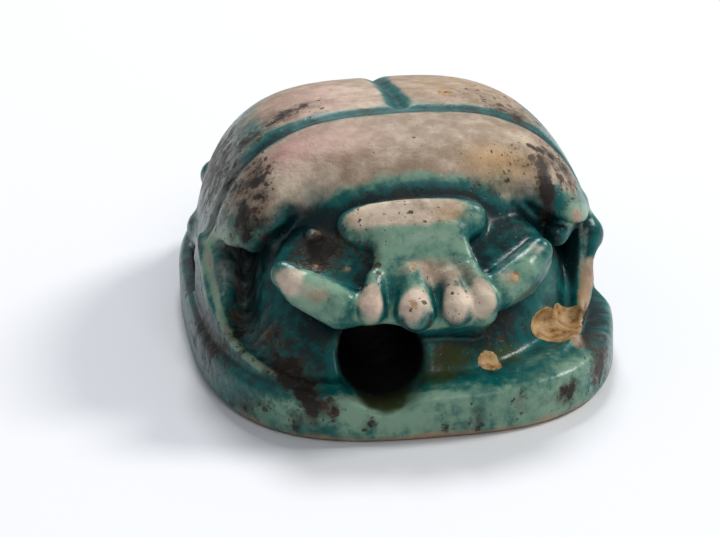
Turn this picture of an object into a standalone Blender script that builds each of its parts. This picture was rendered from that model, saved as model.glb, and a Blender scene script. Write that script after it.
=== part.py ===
"""Glazed scarab amulet: a carved beetle on an oval base, with a string hole from end to end.

The beetle is one carved body. Its surface is the zero level of a formula that is
negative inside: each form is a rounded solid, and the forms are blended where they meet.
The formula is sampled on a regular lattice, and a net of quads is drawn through the
cells that the surface passes.

The head points to -Y, the underside lies on z = 0 and the origin is its middle.
"""
import math

import bmesh
import bpy
import numpy as np

# Driving dimensions, in metres.
LENGTH = 0.0174
WIDTH = 0.0126
HEIGHT = 0.0073
BASE_THICKNESS = 0.0014
BASE_EDGE_ROUND = 0.0003
BORE_RADIUS = 0.00118
BORE_OFFSET = -0.00135
BORE_HEIGHT = 0.0021
BORE_MOUTH_ROUND = 0.00025
LINE_WIDTH = 0.00046
LINE_DEPTH = 0.00013

# The beetle is drawn once, in figure units, and stretched to the sizes above.
FIGURE_HALF_LENGTH = 8.7
FIGURE_HALF_WIDTH = 6.3
FIGURE_HEIGHT = 7.3
FIGURE_BASE = 1.4
UNIT = 0.001
SCALE_X = WIDTH / 2 / FIGURE_HALF_WIDTH
SCALE_Y = LENGTH / 2 / FIGURE_HALF_LENGTH
SCALE_BASE = BASE_THICKNESS / FIGURE_BASE
SCALE_BODY = (HEIGHT - BASE_THICKNESS) / (FIGURE_HEIGHT - FIGURE_BASE)

# Proportions of the carving, in figure units.
OUTLINE_POWER = 2.9            # 2 is an ellipse, more is squarer
LEDGE_RISE = 0.15              # the base's top rises this much from its edge
LEDGE_REACH = 1.2
CORE_Y, CORE_SIZE, CORE_POWER = 1.0, (5.15, 6.4, 5.0), 2.6
THROAT_Y, THROAT_SIZE, THROAT_POWER, THROAT_RISE = -3.05, (4.95, 3.2, 7.0), 2.4, 2.2
CREST_Y = -1.15                # the highest line, where thorax and wing cases meet
SHELL_SIDE, SHELL_FRONT, SHELL_REAR = 6.1, 6.6, 9.0
SHELL_SIDE_POWER, SHELL_FRONT_POWER, SHELL_REAR_POWER, SHELL_RISE_POWER = 3.3, 2.5, 2.1, 2.85
SHELL_POWER = 2.7              # turns the sum of those powers back into a distance
SHELL_MARGIN_REAR, SHELL_MARGIN_FRONT = 2.9, 4.4
MARGIN_STEP_Y, MARGIN_STEP_REACH = -0.6, 2.9
THORAX_FRONT_Y, THORAX_FRONT_ROUND = -4.35, 1.3
THORAX_CORNER_REACH, THORAX_CORNER_X, THORAX_CORNER_WIDTH = 0.8, 3.0, 2.0
THORAX_FRONT_LEAN, THORAX_FRONT_Z = 0.1, 6.4
GROOVE_BOW = 0.028             # how far the cross groove bends forward at the sides
SEAM_START = 0.25              # the seam deepens over this distance behind the groove
SEAM_SWAY, SEAM_SWAY_REACH = 0.28, 3.0
BROW_LINE_Y, BROW_LINE_BOW, BROW_LINE_HALF, BROW_LINE_LOW = -4.72, 0.03, 2.7, 4.5
PLATE_SIDE, PLATE_FRONT, PLATE_SHIFT = 5.75, 8.15, -0.27
PLATE_LOW, PLATE_KNEE, PLATE_FALL = 1.2, 2.9, 2.4
PLATE_KNEE_Y, PLATE_END_Y, PLATE_END_DROP, PLATE_END_REACH = -2.0, -2.1, 2.6, 2.0
PLATE_LIP, PLATE_LIP_WIDTH, PLATE_SLOPE = 0.22, 0.4, 0.1

# Tapered strokes: each point is x, y, z and radius. The folded legs are mirrored.
KNEES = (
    ((-4.7, -0.6, 3.3, 0.8), (-5.35, -2.4, 3.7, 0.55), (-5.5, -3.4, 2.7, 0.4)),
    ((4.7, -0.6, 3.3, 0.8), (5.4, -2.8, 3.55, 0.6), (4.95, -3.9, 2.1, 0.4)),
)
MIDDLE_LEGS = ((4.9, -0.7, 2.6, 0.6), (5.45, 1.1, 3.0, 0.62), (5.2, 3.3, 1.8, 0.6))
HIND_LEGS = ((4.5, 2.6, 3.1, 0.5), (4.75, 4.8, 3.2, 0.52), (3.7, 6.5, 1.8, 0.55))
SPURS = (
    ((-5.0, -2.6, 4.85, 0.4), (-4.6, -4.3, 4.7, 0.3)),
    ((5.15, -2.4, 4.4, 0.45), (4.3, -4.3, 4.25, 0.36)),
)
HEAD_RIM = (
    (-3.95, -6.1, 4.38, 0.4), (-3.45, -6.62, 4.1, 0.56), (-2.45, -7.0, 3.6, 0.62),
    (-1.3, -7.15, 3.38, 0.38), (0.3, -7.25, 3.3, 0.42), (1.3, -7.1, 3.42, 0.44),
    (2.1, -6.9, 3.72, 0.56), (2.9, -6.4, 4.04, 0.56), (3.5, -5.85, 4.42, 0.4),
)
TEETH = (
    ((-1.42, -6.75, 4.3, 0.25), (-1.66, -7.58, 3.7, 0.42)),
    ((-0.3, -6.75, 4.22, 0.42), (-0.42, -7.74, 3.6, 0.57)),
    ((0.72, -6.85, 4.2, 0.3), (0.81, -7.72, 3.58, 0.46)),
    ((1.34, -6.7, 4.32, 0.26), (1.6, -7.5, 3.7, 0.42)),
)
# Eggs: a middle and three radii. The two chips are taken away.
CHEST = ((-0.6, -4.9, 1.6), (3.9, 2.6, 2.1))
EYE = ((-2.9, -5.0, 5.02), (0.3, 0.3, 0.32))
KNEE_CHIP = ((6.35, -3.5, 2.75), (0.85, 0.9, 0.75))
SIDE_CHIP = ((7.0, -1.1, 1.7), (1.15, 2.7, 1.5))
# Tipped pillows: a middle, three half sizes, a power, a taper to the near end and an angle.
HEAD_DISH = ((-0.15, -5.35, 4.12), (4.0, 1.95, 0.75), 2.3, 0.0, 0.65)
FRONS = ((-0.1, -5.1, 5.12), (2.2, 0.88, 0.7), 2.9, 0.12, 0.75)
CLYPEUS, CLYPEUS_ROUND, CLYPEUS_TIP = ((0.0, -6.22, 3.84), (1.0, 1.6, 0.8)), 0.3, 0.8
CLYPEUS_X, CLYPEUS_WIDTH, CLYPEUS_SPREAD = 0.05, 1.2, 0.34
CLYPEUS_Y, CLYPEUS_REACH = -5.4, 2.6
MOUTH_FRONT, MOUTH_REAR = -7.0, 6.2
SOFT, MIDDLING, CRISP = 0.3, 0.2, 0.12   # how far two forms run into each other
CHEST_BLEND, RIM_BLEND, KNEE_BLEND = 1.1, 0.6, 0.5

# How finely the surface is read, in figure units, and how many faces are kept.
CELL = 0.12
MARGIN = 3                     # empty cells round the form
FILLINGS = 4                   # passes that fill slits thinner than a cell
FLAT_LIMIT = 0.01              # what lies this close to the underside is put on it
TRIANGLES = 8800
BORE_SIDES = 40
CUTTER_LENGTH = LENGTH * 1.2
GLAZE_COLOUR = (0.30, 0.42, 0.36, 1)
GLAZE_ROUGHNESS = 0.3


def blend(a, b, reach):
    """Union of two forms, rounded over a reach where they meet."""
    h = np.clip(0.5 + 0.5 * (b - a) / reach, 0, 1)
    return b + (a - b) * h - reach * h * (1 - h)


def trim(a, b, reach):
    """Overlap of two forms, with a rounded edge."""
    return -blend(-a, -b, reach)


def ease(t):
    """Smooth step from 0 to 1."""
    t = np.clip(t, 0, 1)
    return t * t * (3 - 2 * t)


def oval(x, y, side, front):
    """Distance from a squarish oval in plan."""
    power = OUTLINE_POWER
    g = (np.abs(x / side) ** power + np.abs(y / front) ** power) ** (1 / power) + 1e-9
    return np.hypot(x, y) * (1 - 1 / g)


def loaf(x, y, z, size, power, rise):
    """Distance from a dome with a squarish plan and a rounded profile."""
    plan = np.abs(x / size[0]) ** power + np.abs(y / size[1]) ** power
    g = (plan ** (rise / power) + np.abs(z / size[2]) ** rise) ** (1 / rise) + 1e-9
    return np.sqrt(x * x + y * y + z * z) * (1 - 1 / g)


def egg(x, y, z, centre, radii):
    """Distance from an ellipsoid."""
    u, v, w = (x - centre[0]) / radii[0], (y - centre[1]) / radii[1], (z - centre[2]) / radii[2]
    near = np.sqrt(u * u + v * v + w * w) + 1e-9
    slope = np.sqrt((u / radii[0]) ** 2 + (v / radii[1]) ** 2 + (w / radii[2]) ** 2) + 1e-9
    return near * (near - 1) / slope


def stroke(x, y, z, points):
    """Distance from a chain of tapered round bars."""
    out = None
    for (ax, ay, az, ar), (bx, by, bz, br) in zip(points[:-1], points[1:]):
        dx, dy, dz = bx - ax, by - ay, bz - az
        along = (x - ax) * dx + (y - ay) * dy + (z - az) * dz
        t = np.clip(along / (dx * dx + dy * dy + dz * dz), 0, 1)
        u, v, w = x - ax - t * dx, y - ay - t * dy, z - az - t * dz
        bar = np.sqrt(u * u + v * v + w * w) - (ar + (br - ar) * t)
        out = bar if out is None else np.minimum(out, bar)
    return out


def tipped(x, y, z, centre, tip):
    """Place relative to a middle, in axes that are tipped forward by an angle."""
    u, v, w = x - centre[0], y - centre[1], z - centre[2]
    return u, v * math.cos(tip) + w * math.sin(tip), w * math.cos(tip) - v * math.sin(tip)


def pillow(x, y, z, centre, half, power, taper, tip):
    """Distance from a squarish ellipsoid, tipped forward and narrower at its near end."""
    u, v, w = tipped(x, y, z, centre, tip)
    u = u / (1 + taper * np.clip(v / half[1], -1, 1))
    g = np.abs(u / half[0]) ** power + np.abs(v / half[1]) ** power + np.abs(w / half[2]) ** power
    return np.sqrt(u * u + v * v + w * w) * (1 - (g + 1e-9) ** (-1 / power))


def block(x, y, z, centre, half, edge, tip):
    """Distance from a block with round edges, tipped forward by an angle."""
    u, v, w = tipped(x, y, z, centre, tip)
    p, q, s = np.abs(u) - half[0] + edge, np.abs(v) - half[1] + edge, np.abs(w) - half[2] + edge
    out = np.sqrt(np.maximum(p, 0) ** 2 + np.maximum(q, 0) ** 2 + np.maximum(s, 0) ** 2)
    return out + np.minimum(np.maximum(np.maximum(p, q), s), 0) - edge


def base_plate(x, y, z):
    """Flat oval plate with rounded edges and a top that rises slightly inward."""
    edge = BASE_EDGE_ROUND / UNIT
    out = oval(x, y, FIGURE_HALF_WIDTH, FIGURE_HALF_LENGTH)
    top = FIGURE_BASE + LEDGE_RISE * np.clip(-out / LEDGE_REACH, 0, 1)
    up = np.maximum(z - top, -z)
    p, q = out + edge, up + edge
    return np.hypot(np.maximum(p, 0), np.maximum(q, 0)) + np.minimum(np.maximum(p, q), 0) - edge


def incised(distance):
    """Depth of a line cut with a round-nosed tool, at a distance from its middle."""
    return LINE_DEPTH / UNIT * np.exp(-(distance / (LINE_WIDTH / UNIT / 2)) ** 2)


def back(x, y, z):
    """Wing cases and thorax: a dome that falls long to the tail and short to the head."""
    u = y - CREST_Y
    rear = u > 0
    run = np.abs(u / np.where(rear, SHELL_REAR, SHELL_FRONT))
    run = run ** np.where(rear, SHELL_REAR_POWER, SHELL_FRONT_POWER)
    across, up = np.abs(x / SHELL_SIDE), np.abs(z / FIGURE_HEIGHT)
    g = across ** SHELL_SIDE_POWER + run + up ** SHELL_RISE_POWER + 1e-9
    dome = np.sqrt(x * x + u * u + z * z) * (1 - g ** (-1 / SHELL_POWER))
    forward = ease((MARGIN_STEP_Y - y) / MARGIN_STEP_REACH)
    margin = SHELL_MARGIN_REAR + (SHELL_MARGIN_FRONT - SHELL_MARGIN_REAR) * forward
    dome = trim(dome, margin - z, CRISP)
    corner = ease((np.abs(x) - THORAX_CORNER_X) / THORAX_CORNER_WIDTH)
    front = THORAX_FRONT_Y - THORAX_CORNER_REACH * corner - THORAX_FRONT_LEAN * (z - THORAX_FRONT_Z)
    dome = trim(dome, front - y, THORAX_FRONT_ROUND)
    groove = u + GROOVE_BOW * x * x
    seam = x - SEAM_SWAY * np.exp(-np.clip(u, 0, FIGURE_HALF_LENGTH) / SEAM_SWAY_REACH)
    on_wings = np.clip(groove / SEAM_START, 0, 1) * np.clip(z - SHELL_MARGIN_REAR, 0, 1)
    return dome + incised(np.minimum(np.abs(groove), np.hypot(seam, FIGURE_HALF_WIDTH * (1 - on_wings))))


def brow_line(x, y, z):
    """Depth of the line cut across between thorax and brow."""
    along = np.maximum(np.abs(x) - BROW_LINE_HALF, 0)
    return incised(np.hypot(y - BROW_LINE_Y + BROW_LINE_BOW * x * x, along)) * ease(z - BROW_LINE_LOW)


def foreleg_plates(x, y, z):
    """Low bowl round the head: its lip climbs to the knees and fades behind them."""
    wall = oval(x - PLATE_SHIFT, y, PLATE_SIDE, PLATE_FRONT)
    run = np.clip(PLATE_KNEE_Y - y, 0, FIGURE_HALF_LENGTH)
    ridge = PLATE_LOW + PLATE_KNEE * np.exp(-run / PLATE_FALL)
    ridge = ridge - PLATE_END_DROP * np.clip((y - PLATE_END_Y) / PLATE_END_REACH, 0, 1) ** 2
    inward = np.clip(-wall, 0, FIGURE_HALF_LENGTH)
    lip = PLATE_LIP * (1 - np.exp(-(inward / PLATE_LIP_WIDTH) ** 2))
    plates = trim(wall, z - ridge + lip + PLATE_SLOPE * inward, MIDDLING)
    left, right = [stroke(x, y, z, knee) for knee in KNEES]
    plates = blend(plates, np.minimum(left, right), KNEE_BLEND)
    return trim(plates, -egg(x, y, z, *KNEE_CHIP), CRISP)


def folded_legs(x, y, z):
    """The middle and hind legs, folded along the sides."""
    side = np.abs(x)
    return blend(stroke(side, y, z, MIDDLE_LEGS), stroke(side, y, z, HIND_LEGS), CRISP)


def head(x, y, z):
    """Two side plates with a rolled rim, a spreading front plate, four teeth and a brow."""
    out = blend(pillow(x, y, z, *HEAD_DISH), stroke(x, y, z, HEAD_RIM), RIM_BLEND)
    spread = CLYPEUS_WIDTH + CLYPEUS_SPREAD * np.clip(CLYPEUS_Y - y, 0, CLYPEUS_REACH)
    fan = block((x - CLYPEUS_X) / spread, y, z, *CLYPEUS, CLYPEUS_ROUND, CLYPEUS_TIP)
    out = blend(out, fan, MIDDLING)
    out = blend(out, pillow(x, y, z, *FRONS), SOFT)
    for tooth in TEETH:
        out = blend(out, stroke(x, y, z, tooth), MIDDLING)
    return blend(out, egg(x, y, z, *EYE), CRISP)


def bore_mouths(x, y, z):
    """Rounded pockets where the string hole comes out, front and back."""
    across = x * SCALE_X - BORE_OFFSET
    up = np.where(z < FIGURE_BASE, z * SCALE_BASE, BASE_THICKNESS + (z - FIGURE_BASE) * SCALE_BODY)
    inside = (BORE_RADIUS - np.hypot(across, up - BORE_HEIGHT)) / UNIT
    return np.minimum(inside, np.where(y < 0, MOUTH_FRONT - y, y - MOUTH_REAR))


def carved(x, y, z):
    """The whole amulet, negative inside."""
    body = loaf(x, y - CORE_Y, z, CORE_SIZE, CORE_POWER, CORE_POWER)
    body = blend(body, back(x, y, z), MIDDLING)
    body = blend(body, loaf(x, y - THROAT_Y, z, THROAT_SIZE, THROAT_POWER, THROAT_RISE), SOFT)
    body = blend(body, foreleg_plates(x, y, z), SOFT)
    body = blend(body, egg(x, y, z, *CHEST), CHEST_BLEND)
    body = blend(body, folded_legs(x, y, z), MIDDLING)
    for spur in SPURS:
        body = blend(body, stroke(x, y, z, spur), CRISP)
    body = blend(body, head(x, y, z), CRISP) + brow_line(x, y, z)
    body = np.maximum(body, FIGURE_BASE / 2 - z)
    body = blend(base_plate(x, y, z), body, CRISP)
    body = trim(body, -egg(x, y, z, *SIDE_CHIP), CRISP)
    return trim(body, bore_mouths(x, y, z), BORE_MOUTH_ROUND / UNIT)


def lattice():
    """Sample points of a regular lattice that encloses the form, as one array for each axis."""
    half_x, half_y = FIGURE_HALF_WIDTH + MARGIN * CELL, FIGURE_HALF_LENGTH + MARGIN * CELL
    x = np.arange(-half_x, half_x, CELL)
    y = np.arange(-half_y, half_y, CELL)
    z = np.arange((0.5 - MARGIN) * CELL, FIGURE_HEIGHT + MARGIN * CELL, CELL)
    return x, y, z


def close_slits(level):
    """Fill what is thinner than a cell, so that the surface never touches itself.

    Neighbouring samples are averaged once. Then wherever the four corners of a lattice
    square are inside and outside by turns, all four are put inside.
    """
    for axis in range(3):
        inner = level.swapaxes(0, axis)
        inner[1:-1] = (inner[:-2] + 2 * inner[1:-1] + inner[2:]) / 4
    for turn in range(FILLINGS):
        for across, over in ((0, 1), (1, 2), (0, 2)):
            square = np.moveaxis(level, (across, over), (0, 1))
            corners = [square[:-1, :-1], square[1:, 1:], square[:-1, 1:], square[1:, :-1]]
            a, b, c, d = [corner < 0 for corner in corners]
            mixed = (a == b) & (c == d) & (a != c)
            for corner in corners:
                corner[mixed] = np.minimum(corner[mixed], -CELL / 10)
    return level


def crossings(level, axis):
    """Lattice edges along one axis that pass through the surface, and where they do."""
    first = np.take(level, range(level.shape[axis] - 1), axis)
    second = np.take(level, range(1, level.shape[axis]), axis)
    edge = np.argwhere((first < 0) != (second < 0))
    a, b = first[tuple(edge.T)], second[tuple(edge.T)]
    place = edge.astype(float)
    place[:, axis] += a / (a - b)
    return edge, place, a < 0


def net(level):
    """One point in each cell that the surface passes through, and one quad round each crossed edge.

    A cell's point is the mean of the crossings on its twelve edges.
    """
    shape = np.array(level.shape)
    total, count, quads = np.zeros((shape.prod(), 3)), np.zeros(shape.prod()), []
    for axis in range(3):
        edge, place, outward = crossings(level, axis)
        across, over = (axis + 1) % 3, (axis + 2) % 3
        corners = []
        for back_across, back_over in ((1, 1), (0, 1), (0, 0), (1, 0)):
            cell = edge.copy()
            cell[:, across] -= back_across
            cell[:, over] -= back_over
            corner = np.ravel_multi_index(tuple(cell.T), shape)
            corners.append(corner)
            count += np.bincount(corner, minlength=len(count))
            for part in range(3):
                total[:, part] += np.bincount(corner, place[:, part], len(count))
        quad = np.stack(corners, -1)
        quads.append(np.where(outward[:, None], quad, quad[:, ::-1]))
    used = count > 0
    number = np.cumsum(used) - 1
    return total[used] / count[used, None], number[np.concatenate(quads)]


def real_size(points):
    """Figure units to metres: the base keeps its own thickness, the beetle the rest."""
    x, y, z = points[..., 0], points[..., 1], points[..., 2]
    z = np.where(np.abs(z) < FLAT_LIMIT, 0, z)
    lift = np.where(z < FIGURE_BASE, z * SCALE_BASE, BASE_THICKNESS + (z - FIGURE_BASE) * SCALE_BODY)
    return np.stack([x * SCALE_X, y * SCALE_Y, lift], -1)


def closed_mesh(name):
    """The figure's surface as one closed mesh in millimetres, with one face for the underside."""
    x, y, z = lattice()
    level = carved(*np.meshgrid(x, y, z, indexing="ij"))
    places, quads = net(close_slits(level))
    points = places * CELL + (x[0], y[0], z[0])
    mesh = bpy.data.meshes.new(name)
    mesh.from_pydata((real_size(points) / UNIT).tolist(), [], quads.tolist())
    work = bmesh.new()
    work.from_mesh(mesh)
    flat = [face for face in work.faces if all(corner.co.z == 0 for corner in face.verts)]
    bmesh.ops.dissolve_faces(work, faces=flat, use_verts=False)
    work.to_mesh(mesh)
    work.free()
    return mesh


def glazed_stone():
    """Thin blue-green glaze over pale stone."""
    material = bpy.data.materials.new("glazed stone")
    material.use_nodes = True
    shader = material.node_tree.nodes["Principled BSDF"]
    shader.inputs["Base Color"].default_value = GLAZE_COLOUR
    shader.inputs["Roughness"].default_value = GLAZE_ROUGHNESS
    shader.inputs["Metallic"].default_value = 0.0
    return material


def string_hole():
    """Cutter for the hole from end to end."""
    mesh = bpy.data.meshes.new("string_hole")
    work = bmesh.new()
    bmesh.ops.create_cone(work, cap_ends=True, segments=BORE_SIDES, radius1=BORE_RADIUS,
                          radius2=BORE_RADIUS, depth=CUTTER_LENGTH)
    work.to_mesh(mesh)
    work.free()
    cutter = bpy.data.objects.new("string_hole", mesh)
    cutter.rotation_euler = (math.pi / 2, 0, 0)
    cutter.location = (BORE_OFFSET, 0, BORE_HEIGHT)
    cutter.hide_render = True
    cutter.display_type = "WIRE"
    bpy.context.scene.collection.objects.link(cutter)
    return cutter


def scarab():
    """The amulet: the carved surface, thinned to fewer faces, with the hole cut through.

    Its mesh is in millimetres, which the thinning needs, and the object scales it down.
    """
    mesh = closed_mesh("scarab")
    amulet = bpy.data.objects.new("scarab", mesh)
    bpy.context.scene.collection.objects.link(amulet)
    amulet.scale = (UNIT, UNIT, UNIT)
    amulet.data.materials.append(glazed_stone())
    thin = amulet.modifiers.new("fewer faces", "DECIMATE")
    thin.ratio = TRIANGLES / (2 * len(mesh.polygons))
    hole = amulet.modifiers.new("string hole", "BOOLEAN")
    hole.operation = "DIFFERENCE"
    hole.solver = "EXACT"
    hole.object = string_hole()
    mesh.shade_smooth()
    return amulet


for leftover in list(bpy.data.objects):
    bpy.data.objects.remove(leftover)
scarab()
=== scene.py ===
import math
import bpy
import numpy as np
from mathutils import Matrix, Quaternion, Vector


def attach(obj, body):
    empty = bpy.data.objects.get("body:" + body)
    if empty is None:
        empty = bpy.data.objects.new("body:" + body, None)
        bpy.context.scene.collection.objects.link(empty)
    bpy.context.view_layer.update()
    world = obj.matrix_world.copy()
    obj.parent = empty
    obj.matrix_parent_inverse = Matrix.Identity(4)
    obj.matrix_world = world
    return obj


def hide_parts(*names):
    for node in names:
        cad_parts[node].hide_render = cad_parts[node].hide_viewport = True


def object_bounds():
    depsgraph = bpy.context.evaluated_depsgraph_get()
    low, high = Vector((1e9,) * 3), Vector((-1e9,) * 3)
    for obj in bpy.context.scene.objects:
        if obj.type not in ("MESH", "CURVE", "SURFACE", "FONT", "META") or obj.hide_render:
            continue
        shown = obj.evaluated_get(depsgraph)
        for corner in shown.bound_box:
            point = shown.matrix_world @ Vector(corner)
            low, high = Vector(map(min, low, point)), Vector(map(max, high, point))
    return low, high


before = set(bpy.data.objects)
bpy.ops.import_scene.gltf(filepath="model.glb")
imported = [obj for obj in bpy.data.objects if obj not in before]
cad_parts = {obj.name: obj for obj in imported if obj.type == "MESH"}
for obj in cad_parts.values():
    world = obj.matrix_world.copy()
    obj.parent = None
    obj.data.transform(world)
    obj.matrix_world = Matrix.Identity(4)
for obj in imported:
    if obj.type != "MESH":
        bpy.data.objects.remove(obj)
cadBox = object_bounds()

print("frame loaded")

# The beetle is drawn in millimetres. The head points to -Y and the underside lies on z = 0.
scarab = {
    "halfWidth": 6.3,
    "halfLength": 8.7,
    "height": 7.3,
    "base": {"top": 1.4, "round": 0.3, "power": 2.9, "rise": 0.15, "reach": 1.2},
    "sideChip": ((7.0, -1.1, 1.7), (1.15, 2.7, 1.5)),
    "core": {"shift": 1.0, "size": (5.15, 6.4, 5.0), "power": 2.6, "rise": 2.6},
    "throat": {"shift": -3.05, "size": (4.95, 3.2, 7.0), "power": 2.4, "rise": 2.2},
    "back": {
        "crest": -1.15, "side": 6.1, "front": 6.6, "rear": 9.0, "steep": 0.9,
        "sidePower": 3.3, "risePower": 2.85, "frontPower": 2.5, "rearPower": 2.1, "domePower": 2.7,
        "marginRear": 2.9, "marginFront": 4.4, "marginFrom": -0.6, "marginRun": 2.9, "marginRound": 0.15,
        "thoraxFront": -4.35, "frontRound": 1.3, "frontLean": 0.1, "frontHeight": 6.4,
        "cornerReach": 0.8, "cornerFrom": 3.0, "cornerRun": 2.0,
        "grooveBow": 0.028, "seamSway": 0.28, "swayRun": 3, "seamStart": 0.25, "seamLow": 2.5,
        "lineWidth": 0.46, "lineDepth": 0.13,
    },
    "plates": {
        "side": 5.75, "front": 8.15, "shift": -0.27,
        "low": 1.2, "knee": 2.9, "kneeFrom": -2.0, "fall": 2.4,
        "drop": 2.6, "dropFrom": -2.1, "dropRun": 2.0,
        "lip": 0.22, "lipRun": 0.4, "slope": 0.1, "steep": 0.85,
    },
    "knees": (
        ((-4.7, -0.6, 3.3, 0.8), (-5.35, -2.4, 3.7, 0.55), (-5.5, -3.4, 2.7, 0.4)),
        ((4.7, -0.6, 3.3, 0.8), (5.4, -2.8, 3.55, 0.6), (4.95, -3.9, 2.1, 0.4)),
    ),
    "kneeChip": ((6.35, -3.5, 2.75), (0.85, 0.9, 0.75)),
    "middleLegs": ((4.9, -0.7, 2.6, 0.6), (5.45, 1.1, 3.0, 0.62), (5.2, 3.3, 1.8, 0.6)),
    "hindLegs": ((4.5, 2.6, 3.1, 0.5), (4.75, 4.8, 3.2, 0.52), (3.7, 6.5, 1.8, 0.55)),
    "spurs": (
        ((-5.0, -2.6, 4.85, 0.4), (-4.6, -4.3, 4.7, 0.3)),
        ((5.15, -2.4, 4.4, 0.45), (4.3, -4.3, 4.25, 0.36)),
    ),
    "headRim": (
        (-3.95, -6.1, 4.38, 0.4), (-3.45, -6.62, 4.1, 0.56), (-2.45, -7.0, 3.6, 0.62),
        (-1.3, -7.15, 3.38, 0.38), (0.3, -7.25, 3.3, 0.42), (1.3, -7.1, 3.42, 0.44),
        (2.1, -6.9, 3.72, 0.56), (2.9, -6.4, 4.04, 0.56), (3.5, -5.85, 4.42, 0.4),
    ),
    "teeth": (
        ((-1.42, -6.75, 4.3, 0.25), (-1.66, -7.58, 3.7, 0.42)),
        ((-0.3, -6.75, 4.22, 0.42), (-0.42, -7.74, 3.6, 0.57)),
        ((0.72, -6.85, 4.2, 0.3), (0.81, -7.72, 3.58, 0.46)),
        ((1.34, -6.7, 4.32, 0.26), (1.6, -7.5, 3.7, 0.42)),
    ),
    "headDish": {
        "centre": (-0.15, -5.35, 4.12), "half": (4.0, 1.95, 0.75), "power": 2.3, "taper": 0.0, "tip": 0.65,
    },
    "chips": (
        ((4.1, -5.68, 2.0), (0.8, 0.66, 0.41)), ((4.58, -5.28, 2.06), (0.5, 0.62, 0.47)),
        ((1.86, -7.35, 1.76), (0.34, 0.3, 0.2)), ((1.75, 0.15, 7.36), (0.2, 0.3, 0.18)),
    ),
    "chest": ((-0.6, -4.9, 1.6), (3.9, 2.6, 2.1)),
    "eye": ((-2.9, -5.0, 5.02), (0.3, 0.3, 0.32)),
    "browLine": {"x": -0.1, "y": -4.72, "bow": 0.03, "half": 2.7, "width": 0.46, "depth": 0.13, "low": 4.5},
    "frons": {
        "centre": (-0.1, -5.1, 5.12), "half": (2.2, 0.88, 0.7), "power": 2.9, "taper": 0.12, "tip": 0.75,
    },
    "clypeus": {
        "shift": 0.05, "centre": (0.0, -6.22, 3.84), "half": (1.0, 1.6, 0.8), "edge": 0.3, "tip": 0.8,
        "width": 1.2, "spread": 0.34, "from": -5.4, "longest": 2.6,
    },
    "bore": {
        "radius": 1.18, "x": -1.35, "z": 2.1, "front": -7.0, "rear": 6.2, "round": 0.25,
        "near": 0.03, "clear": 0.14, "glazedTo": 7.95, "darkFrom": 7.2,
    },
    "cell": {"side": 0.088, "nearHead": 0.082, "nearTail": 0.115, "upright": 0.086},
    "joins": {
        "melted": 1.1, "headRim": 0.6, "knees": 0.5, "soft": 0.3, "middling": 0.2,
        "spurs": 0.15, "tight": 0.12, "crisp": 0.1, "kneeChip": 0.08, "chips": 0.03,
    },
    "underside": {
        "border": 0.75, "clear": 0.55, "fade": 0.35, "width": 0.34, "depth": 0.16,
        "rows": 5, "rowGap": 2.3, "strokeGap": 0.95, "stroke": 1.1, "lean": 0.35,
    },
    "triangles": 190000,
}


# A smooth union: the smaller of the two distances, less a dip of reach / 4 where they are equal.
def blend(a, b, reach):
    h = np.clip(0.5 + 0.5 * (b - a) / reach, 0, 1)
    return b + (a - b) * h - reach * h * (1 - h)


# A smooth overlap: the larger of the two distances, with a rounded edge.
def overlap(a, b, reach):
    return -blend(-a, -b, reach)


# 3t^2 - 2t^3 between 0 and 1.
def ease(t):
    t = np.clip(t, 0, 1)
    return t * t * (3 - 2 * t)


# (|x/a|^n + |y/b|^n)^(1/n) is 1 on a squarish oval; the distance from it along the ray.
def ovalWall(x, y, side, front, power):
    g = (np.abs(x / side) ** power + np.abs(y / front) ** power) ** (1 / power) + 1e-9
    return np.hypot(x, y) * (1 - 1 / g)


# The same with a height: a dome whose plan is a squarish oval.
def loaf(x, y, z, size, power, rise):
    plan = np.abs(x / size[0]) ** power + np.abs(y / size[1]) ** power
    g = (plan ** (rise / power) + np.abs(z / size[2]) ** rise) ** (1 / rise) + 1e-9
    return np.sqrt(x * x + y * y + z * z) * (1 - 1 / g)


# An ellipsoid: k(k - 1) / |grad k|, where k is the point's length measured in radii.
def egg(x, y, z, centre, radii):
    u, v, w = (x - centre[0]) / radii[0], (y - centre[1]) / radii[1], (z - centre[2]) / radii[2]
    k = np.sqrt(u * u + v * v + w * w) + 1e-9
    return k * (k - 1) / (np.sqrt((u / radii[0]) ** 2 + (v / radii[1]) ** 2 + (w / radii[2]) ** 2) + 1e-9)


# A round bar along a chain of points: distance to each segment less a radius that changes evenly.
def bar(x, y, z, points):
    out = None
    for (ax, ay, az, ar), (bx, by, bz, br) in zip(points[:-1], points[1:]):
        dx, dy, dz = bx - ax, by - ay, bz - az
        t = np.clip(((x - ax) * dx + (y - ay) * dy + (z - az) * dz) / (dx * dx + dy * dy + dz * dz), 0, 1)
        u, v, w = x - ax - t * dx, y - ay - t * dy, z - az - t * dz
        piece = np.sqrt(u * u + v * v + w * w) - (ar + (br - ar) * t)
        out = piece if out is None else np.minimum(out, piece)
    return out


# A round-edged box turned about X, so that its far end rises: distance to the smaller box less the
# edge's radius.
def tippedBlock(x, y, z, centre, half, edge, tip):
    u, v, w = x - centre[0], y - centre[1], z - centre[2]
    v, w = v * math.cos(tip) + w * math.sin(tip), w * math.cos(tip) - v * math.sin(tip)
    p, q, s = np.abs(u) - half[0] + edge, np.abs(v) - half[1] + edge, np.abs(w) - half[2] + edge
    out = np.sqrt(np.maximum(p, 0) ** 2 + np.maximum(q, 0) ** 2 + np.maximum(s, 0) ** 2)
    return out + np.minimum(np.maximum(np.maximum(p, q), s), 0) - edge


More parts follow.
